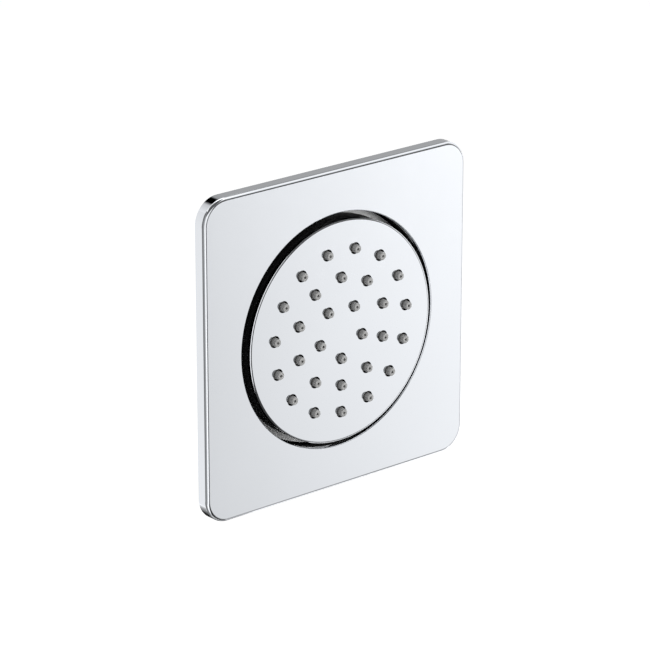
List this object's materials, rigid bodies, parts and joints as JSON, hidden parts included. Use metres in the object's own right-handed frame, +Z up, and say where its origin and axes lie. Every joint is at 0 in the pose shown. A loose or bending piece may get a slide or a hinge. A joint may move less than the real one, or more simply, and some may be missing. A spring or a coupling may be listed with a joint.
{
  "type": "shower body jet",
  "caption": "Square chrome shower body jet for wall mounting: a round spray face with soft nozzle nubs swivels on a hidden ball joint behind a rounded plate.",
  "frame": {"origin": "on the wall's surface, at the centre of the square plate, on the inlet's axis", "axes": "+Z up, +Y into the wall along the inlet, +X to the right seen from the room; the spray leaves along -Y"},
  "size_m": [0.12, 0.0587, 0.12],
  "materials": {
    "chrome": "mirror polished, chrome plated",
    "silicone": "matt soft silicone",
    "black_plastic": "fine moulded texture",
    "white_plastic": "smooth moulded",
    "grey_plastic": "smooth moulded",
    "brass": "turned, bare",
    "steel": "rolled",
    "black_rubber": "matt",
    "foam": "closed cell foam"
  },
  "bodies": {
    "wall_set": {"face_plate": "chrome", "plate_collar": "black_plastic", "plate_ring": "black_rubber", "wall_gasket": "foam", "housing": "black_plastic", "ball_stem": "brass", "stem_seal": "black_rubber", "lock_washer": "steel", "lock_nut": "brass", "flow_regulator": "white_plastic", "inlet_filter": "steel", "filter_clip": "steel"},
    "rear_seat": {"rear_seat": "white_plastic"},
    "front_seat": {"front_seat": "white_plastic"},
    "spray_head": {"ball_seal": "black_rubber", "socket_nut": "brass", "chamber_lid": "white_plastic", "spreader": "grey_plastic", "chamber_screws": "steel", "spray_disc": "chrome", "nozzle_mat": "silicone"}
  },
  "joints": [
    {"name": "head_pan", "type": "hinge", "parent": "wall_set", "child": "rear_seat", "pos_m": [0, 0.009, 0], "axis": [0, 0, 1], "range_deg": [-8, 8]},
    {"name": "head_tilt", "type": "hinge", "parent": "rear_seat", "child": "front_seat", "pos_m": [0, 0.009, 0], "axis": [1, 0, 0], "range_deg": [-8, 8]},
    {"name": "head_spin", "type": "hinge", "parent": "front_seat", "child": "spray_head", "pos_m": [0, 0.009, 0], "axis": [0, -1, 0], "continuous": true}
  ]
}
